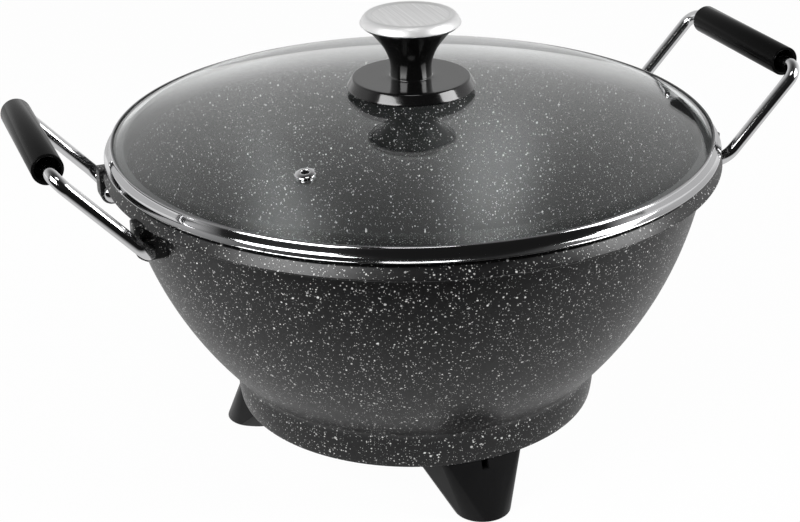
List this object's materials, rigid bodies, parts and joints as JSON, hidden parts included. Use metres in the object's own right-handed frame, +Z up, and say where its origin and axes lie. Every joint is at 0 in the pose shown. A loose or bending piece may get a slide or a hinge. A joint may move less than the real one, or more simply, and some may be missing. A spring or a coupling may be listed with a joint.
{
  "type": "electric wok",
  "caption": "Round cast wok heated from below, on moulded legs, with wire bail handles with grips, and a lift-off domed glass lid with a vent and a flanged knob.",
  "frame": {"origin": "on the table under the bowl's axis", "axes": "+X through the right handle, -Y to the front leg, +Z up"},
  "size_m": [0.448, 0.352, 0.2622],
  "materials": {
    "coated_cast": "cast, with a speckled stone-effect non-stick coating",
    "element_sheath": "drawn tube, dulled by heat",
    "pin_plating": "plated, bright",
    "bead_ceramic": "unglazed",
    "tube_steel": "drawn tube",
    "contact_brass": "plain",
    "shroud_plastic": "moulded phenolic, matt",
    "screw_steel": "zinc plated",
    "plate_steel": "pressed sheet",
    "leg_plastic": "moulded phenolic, satin",
    "handle_chrome": "polished chrome on steel wire",
    "grip_plastic": "moulded phenolic, satin gloss",
    "lid_glass": "clear tempered glass",
    "rim_steel": "polished stainless steel",
    "vent_steel": "polished stainless steel",
    "knob_plastic": "moulded phenolic, gloss",
    "cap_steel": "brushed face with a polished bevel",
    "gasket_rubber": "silicone"
  },
  "bodies": {
    "base": {"wok_bowl": "coated_cast", "heating_element": "element_sheath", "terminal_pins": "pin_plating", "terminal_insulators": "bead_ceramic", "probe_tube": "tube_steel", "earth_contact": "contact_brass", "connector_shroud": "shroud_plastic", "shroud_screws": "screw_steel", "base_plate": "plate_steel", "leg_front": "leg_plastic", "leg_rear_left": "leg_plastic", "leg_rear_right": "leg_plastic", "leg_screws": "screw_steel"},
    "left_handle": {"handle_left": "handle_chrome", "grip_left": "grip_plastic"},
    "right_handle": {"handle_right": "handle_chrome", "grip_right": "grip_plastic"},
    "lid": {"lid_glass": "lid_glass", "lid_rim": "rim_steel", "vent_grommet": "vent_steel", "knob": "knob_plastic", "knob_cap": "cap_steel", "knob_insert": "contact_brass", "knob_screw": "screw_steel", "knob_washer": "screw_steel", "knob_gasket": "gasket_rubber"}
  },
  "joints": [
    {"name": "left_handle_pivot", "type": "hinge", "parent": "base", "child": "left_handle", "pos_m": [-0.1679, 0, 0.1673], "axis": [0, 1, 0], "range_deg": [0, 27]},
    {"name": "right_handle_pivot", "type": "hinge", "parent": "base", "child": "right_handle", "pos_m": [0.1679, 0, 0.1673], "axis": [0, -1, 0], "range_deg": [0, 27]},
    {"name": "lid_lift", "type": "slide", "parent": "base", "child": "lid", "axis": [0, 0, 1], "range_m": [0, 0.15]}
  ]
}
